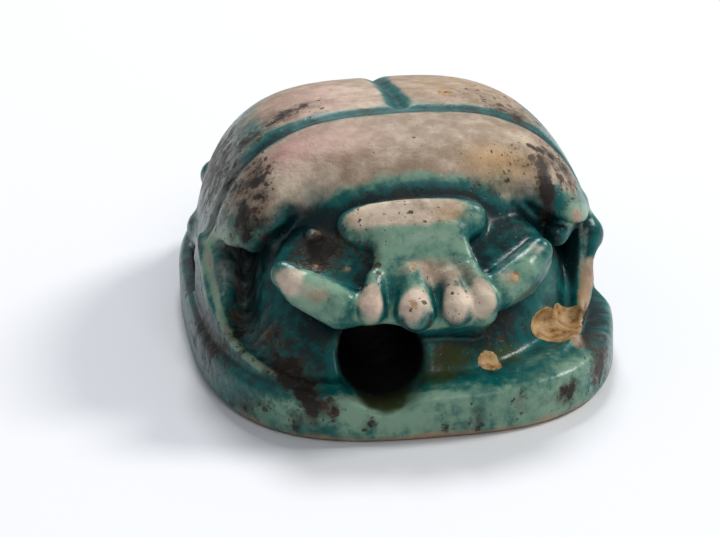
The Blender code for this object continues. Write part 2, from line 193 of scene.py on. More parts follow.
# A tipped pillow, wider at its far end: (|u/a|^n + |v/b|^n + |w/c|^n)^(1/n) is 1 on it.
def pillow(x, y, z, centre, half, power, taper, tip):
    u, v, w = x - centre[0], y - centre[1], z - centre[2]
    v, w = v * math.cos(tip) + w * math.sin(tip), w * math.cos(tip) - v * math.sin(tip)
    u = u / (1 + taper * np.clip(v / half[1], -1, 1))
    g = sum(np.abs(part / size) ** power for part, size in zip((u, v, w), half)) ** (1 / power) + 1e-9
    return np.sqrt(u * u + v * v + w * w) * (1 - 1 / g)


# The oval base: an upright wall and two levels p and q, met with a round edge, |max(p, 0), max(q, 0)|
# less the edge's radius.
def baseForm(x, y, z):
    base = scarab["base"]
    wall = ovalWall(x, y, scarab["halfWidth"], scarab["halfLength"], base["power"])
    top = base["top"] + base["rise"] * np.clip(-wall / base["reach"], 0, 1)
    level = np.maximum(z - top, undersideCuts(x, y, wall) - z)
    p, q = wall + base["round"], level + base["round"]
    return np.hypot(np.maximum(p, 0), np.maximum(q, 0)) + np.minimum(np.maximum(p, q), 0) - base["round"]


# Depth of a cut is its full depth times exp(-(distance / half width)^2).
def cut(distance, width, depth):
    return depth * np.exp(-(distance / (width / 2)) ** 2)


# A border line inside the edge, and rows of short leaning strokes across the middle.
def undersideCuts(x, y, wall):
    u = scarab["underside"]
    line = cut(wall + u["border"], u["width"], u["depth"])
    row = np.clip(np.round(y / u["rowGap"]), -(u["rows"] // 2), u["rows"] // 2)
    lean = np.where(np.mod(row, 2) == 0, u["lean"], -u["lean"])
    along = x + lean * (y - row * u["rowGap"])
    across = along - np.round(along / u["strokeGap"]) * u["strokeGap"]
    ends = np.maximum(np.abs(y - row * u["rowGap"]) - u["stroke"] / 2, 0)
    inside = ease((-wall - u["border"] - u["clear"]) / u["fade"])
    return np.maximum(line, cut(np.hypot(across, ends), u["width"], u["depth"]) * inside)


# Wing cases and thorax: a dome that falls long to the tail and short to the head, |x/a|^m + |u/b|^n
# + |z/h|^r = 1, trimmed by the margin over the legs and by the thorax's front, and cut by two lines.
def backForm(x, y, z):
    b = scarab["back"]
    u = y - b["crest"]
    rear = u > 0
    power = np.where(rear, b["rearPower"], b["frontPower"])
    run = np.abs(u / np.where(rear, b["rear"], b["front"])) ** power
    g = np.abs(x / b["side"]) ** b["sidePower"] + run + np.abs(z / scarab["height"]) ** b["risePower"] + 1e-9
    dome = np.sqrt(x * x + u * u + z * z) * (1 - g ** (-1 / b["domePower"]))
    forward = ease((b["marginFrom"] - y) / b["marginRun"])
    margin = b["marginRear"] + (b["marginFront"] - b["marginRear"]) * forward
    dome = overlap(dome, (margin - z) * b["steep"], b["marginRound"])
    front = b["thoraxFront"] - b["cornerReach"] * ease((np.abs(x) - b["cornerFrom"]) / b["cornerRun"])
    front = (front - y) * b["steep"] - b["frontLean"] * (z - b["frontHeight"])
    dome = overlap(dome, front, b["frontRound"])
    return dome + cut(backLines(x, y, z), b["lineWidth"], b["lineDepth"])


# Distance from the cross groove or the seam between the wing cases, whichever is nearer. The groove is
# u = -bow x^2. The seam is x = sway exp(-u / run). Off the wing cases it counts as 5 mm away or more.
def backLines(x, y, z):
    b = scarab["back"]
    u = y - b["crest"]
    groove = u + b["grooveBow"] * x * x
    seam = x - b["seamSway"] * np.exp(-np.clip(u, 0, 9) / b["swayRun"])
    onWings = np.clip(groove / b["seamStart"], 0, 1) * np.clip(z - b["seamLow"], 0, 1)
    return np.minimum(np.abs(groove), np.hypot(seam, 5 * (1 - onWings)))


# Distance in plan from the line between thorax and brow, y = y0 - bow x^2, which ends at |x| = half.
def browDistance(x, y):
    brow = scarab["browLine"]
    past = np.maximum(np.abs(x - brow["x"]) - brow["half"], 0)
    return np.hypot(y - brow["y"] + brow["bow"] * x * x, past)


# A low bowl round the head: its lip's height falls from the knees by exp(-run / fall).
def foreLegForm(x, y, z):
    p = scarab["plates"]
    wall = ovalWall(x - p["shift"], y, p["side"], p["front"], scarab["base"]["power"])
    lip = p["low"] + p["knee"] * np.exp(-np.clip(p["kneeFrom"] - y, 0, 9) / p["fall"])
    lip = lip - p["drop"] * np.clip((y - p["dropFrom"]) / p["dropRun"], 0, 1) ** 2
    inward = np.clip(-wall, 0, 9)
    top = lip - p["lip"] * (1 - np.exp(-(inward / p["lipRun"]) ** 2)) - p["slope"] * inward
    return overlap(wall, (z - top) * p["steep"], scarab["joins"]["middling"])


# The head is the union of two side plates with a rolled rim, a front plate that spreads evenly
# forwards, four teeth, a brow and an eye.
def headForm(x, y, z):
    joins, c = scarab["joins"], scarab["clypeus"]
    out = blend(pillow(x, y, z, **scarab["headDish"]), bar(x, y, z, scarab["headRim"]), joins["headRim"])
    spread = c["width"] + c["spread"] * np.clip(c["from"] - y, 0, c["longest"])
    fan = tippedBlock((x - c["shift"]) / spread, y, z, c["centre"], c["half"], c["edge"], c["tip"])
    out = blend(out, fan, joins["middling"])
    out = blend(out, pillow(x, y, z, **scarab["frons"]), joins["soft"])
    for tooth in scarab["teeth"]:
        out = blend(out, bar(x, y, z, tooth), joins["middling"])
    return blend(out, egg(x, y, z, *scarab["eye"]), joins["crisp"])


# The string hole's radius less the distance from its axis: positive inside the hole.
def holeWall(x, z):
    b = scarab["bore"]
    return b["radius"] - np.hypot(x - b["x"], z - b["z"])


# Body, thorax, forelegs and chest, the legs folded along the flanks, and the spurs.
def bodyForm(x, y, z):
    core, throat, joins = scarab["core"], scarab["throat"], scarab["joins"]
    body = loaf(x, y - core["shift"], z, core["size"], core["power"], core["rise"])
    body = blend(body, backForm(x, y, z), joins["middling"])
    neck = loaf(x, y - throat["shift"], z, throat["size"], throat["power"], throat["rise"])
    body = blend(body, neck, joins["soft"])
    knees = np.minimum(*[bar(x, y, z, knee) for knee in scarab["knees"]])
    legs = blend(foreLegForm(x, y, z), knees, joins["knees"])
    legs = overlap(legs, -egg(x, y, z, *scarab["kneeChip"]), joins["kneeChip"])
    body = blend(body, legs, joins["soft"])
    body = blend(body, egg(x, y, z, *scarab["chest"]), joins["melted"])
    side = np.abs(x)
    folded = blend(bar(side, y, z, scarab["middleLegs"]), bar(side, y, z, scarab["hindLegs"]), joins["crisp"])
    body = blend(body, folded, joins["middling"])
    for spur in scarab["spurs"]:
        body = blend(body, bar(x, y, z, spur), joins["spurs"])
    return body


# The whole amulet: the union of body, head and base, less the brow line, the chips and the string hole.
def carving(x, y, z):
    bore, brow, joins = scarab["bore"], scarab["browLine"], scarab["joins"]
    body = blend(bodyForm(x, y, z), headForm(x, y, z), joins["tight"])
    body = body + cut(browDistance(x, y), brow["width"], brow["depth"]) * ease(z - brow["low"])
    body = np.maximum(body, scarab["base"]["top"] / 2 - z)
    body = blend(baseForm(x, y, z), body, joins["tight"])
    body = overlap(body, -egg(x, y, z, *scarab["sideChip"]), joins["crisp"])
    for chip in scarab["chips"]:
        body = overlap(body, -egg(x, y, z, *chip), joins["chips"])
    mouth = np.minimum(holeWall(x, z), np.where(y < 0, bore["front"] - y, y - bore["rear"]))
    body = overlap(body, mouth, bore["round"])
    return np.maximum(body, holeWall(x, z))


# Lattice lines along the three axes, a little past the form. Along Y the step grows evenly from head to
# tail, a t + (b - a) t^2 / 2n.
def latticeLines():
    c = scarab["cell"]
    x = np.arange(-scarab["halfWidth"] - 3 * c["side"], scarab["halfWidth"] + 3 * c["side"], c["side"])
    z = np.arange(-2.5 * c["upright"], scarab["height"] + 3 * c["upright"], c["upright"])
    length = 2 * scarab["halfLength"] + 3 * (c["nearHead"] + c["nearTail"])
    count = int(round(2 * length / (c["nearHead"] + c["nearTail"])))
    t = np.arange(count + 1)
    y = c["nearHead"] * t + (c["nearTail"] - c["nearHead"]) * t * t / (2 * count)
    return x, y - scarab["halfLength"] - 3 * c["nearHead"], z


# Neighbouring samples are averaged once, (a + 2b + c) / 4 along each axis. Then each lattice square whose
# corners are in and out by turns is put just inside, so that the net never touches itself.
def closeSlits(level):
    for axis in range(3):
        inner = level.swapaxes(0, axis)
        inner[1:-1] = (inner[:-2] + 2 * inner[1:-1] + inner[2:]) / 4
    for turn in range(4):
        for across, over in ((0, 1), (1, 2), (0, 2)):
            square = np.moveaxis(level, (across, over), (0, 1))
            corners = [square[:-1, :-1], square[1:, 1:], square[:-1, 1:], square[1:, :-1]]
            a, b, c, d = [corner < 0 for corner in corners]
            mixed = (a == b) & (c == d) & (a != c)
            for corner in corners:
                corner[mixed] = np.minimum(corner[mixed], -0.01)
    return level


# One point in each cell that the surface crosses, at the mean of the crossings on the cell's edges,
# and one quad round each crossed edge, its corners the four cells that share the edge.
def surfaceNet(level):
    shape = np.array(level.shape)
    total, count, quads = np.zeros((shape.prod(), 3)), np.zeros(shape.prod()), []
    for axis in range(3):
        first = np.take(level, range(shape[axis] - 1), axis)
        second = np.take(level, range(1, shape[axis]), axis)
        edge = np.argwhere((first < 0) != (second < 0))
        a, b = first[tuple(edge.T)], second[tuple(edge.T)]
        place = edge.astype(float)
        place[:, axis] += a / (a - b)
        corners = []
        for backAcross, backOver in ((1, 1), (0, 1), (0, 0), (1, 0)):
            cell = edge.copy()
            cell[:, (axis + 1) % 3] -= backAcross
            cell[:, (axis + 2) % 3] -= backOver
            corner = np.ravel_multi_index(tuple(cell.T), shape)
            corners.append(corner)
            count += np.bincount(corner, minlength=len(count))
            for part in range(3):
                total[:, part] += np.bincount(corner, place[:, part], len(count))
        quad = np.stack(corners, -1)
        quads.append(np.where((a < 0)[:, None], quad, quad[:, ::-1]))
    used = count > 0
    number = np.cumsum(used) - 1
    return total[used] / count[used, None], number[np.concatenate(quads)]


# Slope of the form by central differences: (f(p + h) - f(p - h)) / 2h along each axis.
def slope(p, h=0.01):
    columns = []
    for axis in range(3):
        step = np.zeros(3)
        step[axis] = h
        columns.append((carving(*(p + step).T) - carving(*(p - step).T)) / (2 * h))
    return np.stack(columns, -1)


# Newton steps bring each point onto the surface: p - f grad f / |grad f|^2, a short way at a time.
def settle(p, turns=3, longest=0.05):
    for turn in range(turns):
        g = slope(p)
        move = -carving(*p.T)[:, None] * g / np.maximum((g * g).sum(-1, keepdims=True), 0.2)
        length = np.linalg.norm(move, axis=-1, keepdims=True)
        p = p + move * np.minimum(1, longest / np.maximum(length, 1e-9))
    return p


# How closed in a point is: 1 - f(p + n d) / d, 0 on an open flat place and 1 in a slit.
def closedIn(p, n, d):
    return np.clip(1 - carving(*(p + n * d).T) / d, 0, 1)


# How sharp an edge is: 1 + f(p - n d) / d, 0 on a flat place and towards 1 on a thin rim.
def standingOut(p, n, d):
    return np.clip(1 + carving(*(p - n * d).T) / d, 0, 1)


# The form's value at every lattice point, the net where it is 0, and each point settled on the surface
# and kept inside the solid's box.
def makeScarab():
    x, y, z = latticeLines()
    level = carving(*np.meshgrid(x, y, z, indexing="ij"))
    print("form sampled", level.shape)
    places, quads = surfaceNet(closeSlits(level))
    lines = [np.interp(places[:, axis], np.arange(len(line)), line) for axis, line in enumerate((x, y, z))]
    points = settle(np.stack(lines, -1))
    lowest, highest = [np.array(corner) * 1000 for corner in cadBox]
    points = np.clip(points, lowest, highest)
    normals = slope(points)
    normals = normals / np.maximum(np.linalg.norm(normals, axis=-1, keepdims=True), 1e-9)
    mesh = bpy.data.meshes.new("scarabCarving")
    mesh.from_pydata((points / 1000).tolist(), [], quads.tolist())
    mesh.shade_smooth()
    masks = surfaceMasks(points, normals)
    for name in storedMasks:
        layer = mesh.attributes.new(name, "FLOAT", "POINT")
        layer.data.foreach_set("value", masks[name].astype(np.float32))
    print("surface made", len(points), "points", len(quads), "quads")
    piece = bpy.data.objects.new("scarabCarving", mesh)
    bpy.context.scene.collection.objects.link(piece)
    thin = piece.modifiers.new("fewerFaces", "DECIMATE")
    thin.ratio = scarab["triangles"] / (2 * len(quads))
    return piece


# Where the glaze is thin or pools, where it has worn off, and where dirt has settled, with some painted light
# among
# the spots: a painted highlight on the string hole's lower rim, painted shade under the head and a painted
# sheen on the left foreleg plate. Each spot has its middle, its reach along each axis and its strength.
wear = {
    "thin": (
        ((-3.3, -6.9, 4.2), (1.0, 0.7, 0.9), 0.95), ((-2.3, -7.4, 3.7), (0.9, 0.5, 0.8), 0.6),
        ((3.3, -6.4, 4.5), (0.7, 0.8, 0.8), 0.6), ((2.3, -7.1, 3.9), (0.9, 0.6, 0.8), 0.6),
        ((0.0, -6.6, 4.6), (1.4, 0.6, 0.8), 0.5), ((0.0, -7.7, 3.7), (2.1, 0.6, 0.9), 0.8),
        ((0.0, -6.1, 5.0), (1.3, 0.8, 0.7), 0.55),
        ((-0.1, -5.4, 5.7), (2.3, 0.8, 0.8), 0.85), ((0.0, -4.3, 6.5), (3.8, 0.6, 0.8), 0.8),
        ((0.2, -8.6, 0.8), (3.0, 0.9, 1.0), 0.62), ((3.6, -7.9, 0.8), (2.2, 1.3, 0.9), 0.6),
        # The spots at (-2.3, -8.3, 1.3), (0.3, -8.4, 1.3) and (-1.3, -8.5, 0.95) lie on the string hole's
        # lower rim and thin the glaze there as a painted highlight.
        ((-4.4, -7.4, 0.8), (1.4, 1.4, 0.9), 0.5), ((-2.3, -8.3, 1.3), (0.7, 0.5, 0.4), 0.7),
        ((0.3, -8.4, 1.3), (1.0, 0.5, 0.3), 0.5), ((4.2, -7.0, 1.45), (0.8, 1.0, 0.4), 0.6),
        ((-1.3, -8.5, 0.95), (1.4, 0.3, 0.4), 0.8),
        ((2.9, -7.0, 1.7), (1.2, 0.8, 0.5), 0.35), ((4.9, -4.3, 4.6), (0.8, 0.7, 0.6), 1.0),
        ((-5.2, -4.6, 2.4), (0.5, 1.6, 0.8), 0.45),
        ((-5.4, -3.4, 4.2), (0.35, 1.6, 1.0), 0.5), ((-5.2, 1.5, 5.0), (0.9, 4.5, 1.6), 0.4),
        ((5.3, 1.5, 5.0), (0.9, 4.5, 1.6), 0.4), ((0.0, 0.0, 8.0), (5.2, 7.5, 3.0), 0.5),
        ((0.0, 8.6, 0.7), (5.0, 1.0, 0.8), 0.4), ((2.0, -5.3, 5.5), (0.5, 0.5, 0.4), 0.6),
    ),
    "pooled": (
        ((-3.2, -4.5, 5.5), (1.0, 0.6, 0.8), 1.0), ((2.4, -5.4, 4.8), (1.1, 1.0, 0.8), 1.1),
        ((0.0, -4.8, 5.9), (3.4, 0.3, 0.5), 1.0), ((-3.0, -5.4, 4.7), (1.3, 0.9, 0.7), 0.5),
        ((4.0, -4.6, 4.8), (1.0, 0.7, 0.9), 0.6), ((0.0, -6.5, 1.8), (4.4, 2.0, 0.7), 0.35),
        ((4.9, -3.6, 3.4), (0.8, 0.8, 0.6), 0.7), ((-5.9, -3.4, 1.4), (0.5, 2.8, 0.4), 0.8),
        ((-4.8, -6.9, 1.3), (0.7, 1.0, 0.3), 0.5), ((5.3, -4.9, 1.5), (0.5, 1.6, 0.3), 0.5),
        ((-4.6, -4.2, 2.6), (0.8, 1.4, 1.0), 0.4), ((3.6, -6.3, 3.2), (1.0, 0.8, 0.6), 0.4),
        ((-2.6, -6.6, 2.5), (1.4, 0.9, 0.7), 0.6), ((2.2, -6.8, 2.4), (1.6, 0.7, 0.5), 0.5),
    ),
    "worn": (
        ((0.0, -3.0, 6.8), (6.0, 1.5, 1.9), 1.25), ((4.5, -3.2, 6.0), (1.1, 1.2, 0.8), 0.85),
        ((-4.5, -3.0, 6.0), (1.2, 1.3, 0.9), 0.8), ((-1.9, 1.3, 7.0), (2.9, 4.0, 1.7), 1.0),
        ((2.3, 1.2, 6.9), (2.7, 4.0, 1.7), 1.0), ((-0.35, -5.3, 5.75), (1.8, 0.6, 0.55), 1.25),
        ((-1.66, -7.65, 4.0), (0.36, 0.5, 0.7), 1.2), ((-0.45, -7.9, 3.9), (0.5, 0.5, 0.7), 1.1),
        ((0.75, -7.9, 3.85), (0.4, 0.5, 0.7), 1.2), ((1.55, -7.7, 3.9), (0.4, 0.5, 0.6), 1.2),
        ((-3.85, -6.75, 4.45), (0.6, 0.5, 0.4), 0.95), ((-2.82, -5.25, 5.28), (0.26, 0.26, 0.26), 1.3),
        ((0.2, -6.95, 4.4), (1.5, 0.5, 0.5), 0.52), ((-3.2, -7.2, 4.1), (0.9, 0.4, 0.4), 0.44),
        ((3.4, -6.3, 4.65), (0.5, 0.6, 0.4), 0.55), ((2.5, -7.1, 4.15), (0.5, 0.4, 0.35), 0.5),
        ((5.45, -3.9, 2.8), (0.3, 0.8, 0.6), 0.95), ((5.15, -4.6, 2.2), (0.28, 0.7, 0.5), 0.95),
        ((4.6, -6.0, 1.6), (0.3, 0.8, 0.4), 0.75), ((4.95, -4.3, 4.75), (0.25, 0.3, 0.25), 0.9),
        ((0.0, -6.0, 0.0), (7.0, 5.0, 0.42), 0.9), ((-2.3, -8.35, 1.35), (0.6, 0.3, 0.25), 0.4),
        ((0.0, 6.2, 4.6), (2.4, 1.6, 1.4), 0.5), ((0.2, -6.6, 4.7), (1.2, 0.5, 0.5), 0.42),
    ),
    "sootAndShade": (
        ((-2.8, -5.6, 4.8), (1.0, 0.8, 0.7), 1.15), ((-1.5, -6.2, 4.7), (0.35, 0.6, 0.6), 0.7),
        ((-4.5, -3.1, 5.9), (0.9, 1.2, 1.0), 0.85), ((-4.8, -4.0, 5.0), (0.7, 0.8, 0.8), 0.85),
        ((-3.0, -0.1, 7.0), (1.3, 0.7, 0.6), 0.8), ((-5.1, 1.0, 5.3), (1.2, 3.6, 1.7), 0.8),
        ((3.6, -0.9, 6.8), (1.0, 0.6, 0.6), 0.7), ((4.6, 1.2, 5.9), (1.0, 3.0, 1.3), 0.5),
        ((4.5, -3.3, 5.8), (1.0, 1.3, 1.1), 0.8), ((3.3, -3.7, 6.4), (1.1, 0.7, 0.6), 0.42),
        ((2.9, 0.4, 7.1), (1.4, 1.3, 0.6), 0.42), ((-4.2, -5.6, 2.0), (1.3, 1.5, 0.8), 0.55),
        # The first spot on this line, on the right foreleg plate under the head, is painted shade rather than
        # soot.
        ((1.8, -6.6, 2.4), (1.5, 0.8, 0.6), 0.6), ((-0.5, -4.75, 5.9), (3.2, 0.22, 0.4), 0.35),
        ((-4.3, -0.6, 6.4), (0.9, 0.7, 0.6), 0.7), ((4.0, -4.0, 5.7), (0.2, 0.9, 1.0), 1.5),
        ((-3.8, -6.5, 1.6), (0.7, 1.0, 0.4), 1.3), ((-3.6, -7.8, 1.4), (0.4, 0.5, 0.4), 1.3),
        ((-3.45, -8.1, 1.0), (0.28, 0.4, 0.5), 1.3), ((-2.95, -8.3, 1.0), (0.3, 0.4, 0.45), 1.1),
        ((-4.7, -7.2, 0.7), (0.7, 0.6, 0.5), 0.5),
        ((1.2, -8.7, 0.5), (0.35, 0.4, 0.5), 0.7), ((2.5, -8.4, 0.8), (0.3, 0.4, 0.5), 0.8),
        ((3.9, -7.9, 0.8), (0.5, 0.6, 0.6), 0.9), ((5.2, -6.5, 1.0), (0.7, 1.3, 0.7), 1.0),
        ((-6.1, -3.0, 0.8), (0.5, 3.0, 0.7), 0.6), ((-5.2, -6.2, 0.5), (0.8, 0.8, 0.4), 0.6),
        ((-5.2, -4.0, 2.2), (0.5, 1.8, 0.7), 0.7), ((-5.9, 1.5, 2.4), (0.8, 4.0, 1.2), 0.6),
        ((5.9, 2.5, 2.4), (0.8, 4.0, 1.2), 0.6), ((0.0, 8.0, 2.4), (4.0, 1.4, 1.6), 0.5),
        ((4.5, -4.0, 3.6), (0.7, 0.6, 0.7), 0.7), ((2.3, -4.4, 5.9), (0.8, 0.3, 0.4), 0.6),
        ((-5.9, -4.0, 1.35), (0.4, 2.2, 0.3), 0.75), ((0.0, -3.0, 7.0), (4.5, 1.4, 1.0), 0.08),
        ((-0.3, -5.4, 5.7), (2.0, 0.6, 0.6), 0.34), ((0.0, -7.3, 4.3), (2.2, 0.8, 0.9), 0.34),
        ((-0.4, -8.1, 3.9), (0.3, 0.4, 0.3), 0.5), ((0.3, -8.7, 0.4), (0.3, 0.4, 0.4), 0.5),
        ((-4.0, -7.9, 0.5), (0.25, 0.4, 0.4), 0.7), ((-1.9, -8.6, 0.6), (0.25, 0.4, 0.4), 0.55),
    ),
    "dustAndSheen": (
        ((-5.2, 0.6, 5.0), (1.3, 4.5, 1.9), 1.1), ((5.3, 1.6, 5.0), (1.3, 4.0, 1.8), 0.8),
        ((5.6, -5.0, 0.8), (1.3, 2.4, 0.9), 0.6), ((-5.9, 0.0, 0.8), (0.8, 5.0, 0.9), 0.4),
        ((0.0, 8.2, 1.6), (5.5, 2.0, 2.4), 0.45), ((0.0, 0.0, 0.0), (6.5, 9.0, 0.25), 0.6),
        ((-5.2, -3.0, 3.2), (0.9, 1.8, 1.0), 0.4), ((2.6, 0.2, 7.1), (1.8, 1.6, 0.8), 0.42),
        # The next spot, on the left foreleg plate, is a painted grey sheen rather than dust.
        ((-4.6, -5.2, 2.2), (1.0, 1.6, 0.8), 0.4),
    ),
    "olive": (
        ((0.6, -7.25, 1.9), (0.95, 0.7, 0.5), 0.95), ((2.6, -6.9, 1.8), (0.9, 0.6, 0.4), 0.85),
        ((0.1, -7.8, 1.5), (0.7, 0.6, 0.3), 0.8), ((-1.35, -7.75, 1.0), (1.0, 0.75, 0.32), 1.4),
        ((-2.4, -6.6, 2.4), (0.8, 0.8, 0.5), 0.5),
    ),
    "rust": (
        ((-3.0, -5.8, 4.5), (0.4, 0.35, 0.35), 0.62), ((-2.1, -6.1, 4.45), (0.35, 0.3, 0.3), 0.6),
        ((-0.5, -8.05, 4.0), (0.18, 0.3, 0.22), 0.8),
        ((0.7, -8.0, 3.75), (0.14, 0.3, 0.2), 0.8), ((-0.3, -6.85, 4.7), (0.25, 0.3, 0.3), 0.7),
        ((0.5, -6.4, 4.85), (0.2, 0.25, 0.25), 0.6), ((-4.6, -3.2, 5.7), (0.8, 1.0, 0.8), 0.5),
        ((-1.95, -8.0, 1.1), (0.4, 0.35, 0.25), 0.7), ((2.6, -7.0, 4.2), (0.15, 0.3, 0.25), 0.7),
    ),
    "blush": (
        ((-3.3, -2.8, 6.8), (0.8, 0.7, 0.7), 0.9), ((-1.9, -2.9, 7.1), (1.2, 0.9, 0.6), 0.5),
        ((-0.9, -7.9, 3.8), (1.3, 0.5, 0.9), 0.35), ((-2.82, -5.25, 5.28), (0.3, 0.3, 0.3), 0.8),
        ((-2.2, 0.6, 7.0), (1.6, 1.8, 0.9), 0.5),
    ),
    "amber": (
        ((3.3, -3.9, 6.4), (1.1, 0.5, 0.5), 0.9), ((2.4, -3.9, 6.6), (0.7, 0.4, 0.5), 0.7),
        ((2.2, 1.2, 6.9), (1.8, 1.4, 1.0), 0.25), ((1.0, -5.5, 5.6), (0.5, 0.3, 0.3), 0.5),
        ((-1.9, -5.1, 5.7), (0.5, 0.4, 0.4), 0.5), ((4.9, -4.6, 2.2), (0.5, 1.0, 0.6), 0.6),
        ((0.0, -6.0, 0.0), (7.0, 5.0, 0.42), 0.4),
    ),
    "pale": (
        ((3.8, -3.6, 6.2), (1.0, 0.9, 0.8), 0.8), ((-3.2, -3.8, 6.2), (1.0, 0.7, 0.7), 0.8),
        ((0.0, -7.9, 3.9), (2.4, 0.7, 0.8), 1.15), ((-3.7, -6.8, 4.4), (0.9, 0.5, 0.5), 1.1),
        ((-1.7, -5.3, 5.7), (0.9, 0.6, 0.5), 0.9),
        ((-1.2, 0.6, 7.2), (1.2, 1.6, 0.7), 0.6), ((-0.4, -5.3, 5.7), (1.8, 0.6, 0.5), 0.5),
    ),
}


# What the form itself does to the glaze, in millimetres and shares. Thickness is the usual depth, more in
# hollows and cut lines, less on edges and thin places, and less at the painted highlight on the string hole's
# lower rim.
# A look is how far the form is felt.
formWear = {
    "thickness": {
        "usual": 0.66, "closed": 0.45, "hollow": 0.35, "pooled": 0.45, "line": 0.5, "edge": 0.5, "thin": 0.62,
        "most": 1.4, "closedLook": 0.9, "hollowLook": 0.3, "edgeLook": 0.35,
    },
    "line": {"width": 0.62, "low": 3.0, "browWidth": 0.5, "browStrength": 0.9},
    "chips": {"strength": 0.95, "near": 0.12, "fade": 0.07},
    "legs": {
        "front": -1.0, "frontRun": 1.5, "low": 1.45, "lowRun": 0.15, "high": 4.6, "highRun": 0.4,
        "bareSide": 0.5, "bareSideRun": 1.5, "bareFront": -5.6, "bareFrontRun": 0.8,
        "rimIn": 0.12, "rimWidth": 0.14, "rimWorn": 0.55,
        "wallNear": 0.1, "wallRun": 0.08, "wallSoot": 0.5,
    },
}
storedMasks = ("thickness", "worn", "sootAndShade", "dustAndSheen", "olive", "rust", "blush", "amber", "pale", "line")


# One mask: 1 less the product of what each spot leaves, 1 - strength exp(-(distance / reach)^2).
def spotMask(p, spots):
    left = np.ones(len(p))
    for centre, reach, strength in spots:
        away = (((p - centre) / reach) ** 2).sum(-1)
        left = left * (1 - np.minimum(strength * np.exp(-away), 1))
    return 1 - left


# The folded forelegs: their rim is a band exp(-((wall + in) / width)^2) just inside their outline, where
# the normal points up, and below it is their outer wall, where the normal is level.
def foreLegMasks(p, n):
    plates, m = scarab["plates"], formWear["legs"]
    x, y, z = p.T
    up = n[:, 2]
    wall = ovalWall(x - plates["shift"], y, plates["side"], plates["front"], scarab["base"]["power"])
    between = ease((z - m["low"]) / m["lowRun"]) * ease((m["high"] - z) / m["highRun"])
    onLeg = ease((m["front"] - y) / m["frontRun"]) * between
    bare = ease((x - m["bareSide"]) / m["bareSideRun"]) * ease((m["bareFront"] - y) / m["bareFrontRun"])
    onLeg = onLeg * (1 - bare)
    rim = np.exp(-((wall + m["rimIn"]) / m["rimWidth"]) ** 2) * onLeg * ease(up / 0.5 + 0.3)
    under = ease((m["wallNear"] - np.abs(wall)) / m["wallRun"]) * onLeg * ease((0.45 - up) / 0.4)
    return rim, under


# The cross groove, the seam and the brow line, each a band of exp(-(distance / half width)^2).
def lineMask(p, n):
    m = formWear["line"]
    line = cut(backLines(*p.T), m["width"], 1.0) * ease(p[:, 2] - m["low"]) * ease((n[:, 2] + 0.1) / 0.3)
    brow = cut(browDistance(p[:, 0], p[:, 1]), m["browWidth"], m["browStrength"])
    return np.maximum(line, brow * ease(p[:, 2] - scarab["browLine"]["low"]))


# The chips' broken faces: points within a short distance of a chip's egg.
def chipMask(p):
    m = formWear["chips"]
    away = np.min([np.abs(egg(*p.T, *chip)) for chip in scarab["chips"]], axis=0)
    return m["strength"] * ease((m["near"] - away) / m["fade"])


# Every mask that the glaze reads, from the spots, the cut lines, the chips and the form round a point.
def surfaceMasks(p, n):
    masks = {name: spotMask(p, spots) for name, spots in wear.items()}
    rim, under = foreLegMasks(p, n)
    t, legs = formWear["thickness"], formWear["legs"]
    masks["line"] = lineMask(p, n)
    masks["rust"] = np.maximum(masks["rust"], chipMask(p))
    masks["worn"] = np.maximum(masks["worn"], legs["rimWorn"] * rim)
    masks["sootAndShade"] = np.maximum(masks["sootAndShade"], legs["wallSoot"] * under)
    depth = t["usual"] + t["line"] * masks["line"] + t["pooled"] * np.maximum(masks["pooled"], under)
    depth = depth + t["closed"] * closedIn(p, n, t["closedLook"])
    depth = depth + t["hollow"] * closedIn(p, n, t["hollowLook"])
    depth = depth - t["edge"] * standingOut(p, n, t["edgeLook"]) - t["thin"] * np.maximum(masks["thin"], rim)
    masks["thickness"] = np.clip(depth, 0, t["most"])
    return masks


# One node with its settings. An input that is a socket is linked, and any other is set.
def addNode(tree, kind, inputs=None, **settings):
    node = tree.nodes.new(kind)
    for name, value in settings.items():
        setattr(node, name, value)
    for name, value in (inputs or {}).items():
        if isinstance(value, bpy.types.NodeSocket):
            tree.links.new(value, node.inputs[name])
        else:
            node.inputs[name].default_value = value
    return node


# An empty node group. Each input has its name, its kind and its first value.
def newGroup(name, inputs, outputs):
    group = bpy.data.node_groups.new(name, "ShaderNodeTree")
    for label, kind, value in inputs:
        socket = group.interface.new_socket(name=label, in_out="INPUT", socket_type=kind)
        if value is not None:
            socket.default_value = value
    for label, kind in outputs:
        group.interface.new_socket(name=label, in_out="OUTPUT", socket_type=kind)
    return group, group.nodes.new("NodeGroupInput"), group.nodes.new("NodeGroupOutput")


# A node group placed in a material.
def placeGroup(tree, group, inputs):
    return addNode(tree, "ShaderNodeGroup", inputs, node_tree=group)


# One operation on one or two values.
def mathNode(tree, operation, a, b=0.0, clamp=False):
    return addNode(tree, "ShaderNodeMath", {0: a, 1: b}, operation=operation, use_clamp=clamp).outputs[0]


# The largest of several values.
def largest(tree, first, *others):
    for other in others:
        first = mathNode(tree, "MAXIMUM", first, other)
    return first


# A mask stored on the mesh.
def attributeNode(tree, name):
    return addNode(tree, "ShaderNodeAttribute", attribute_name=name).outputs["Fac"]


# a (1 - factor) + b factor.
def mixColour(tree, factor, a, b):
    node = addNode(tree, "ShaderNodeMix", data_type="RGBA")
    for index, value in ((0, factor), (6, a), (7, b)):
        if isinstance(value, bpy.types.NodeSocket):
            tree.links.new(value, node.inputs[index])
        else:
            node.inputs[index].default_value = value
    return node.outputs[2]


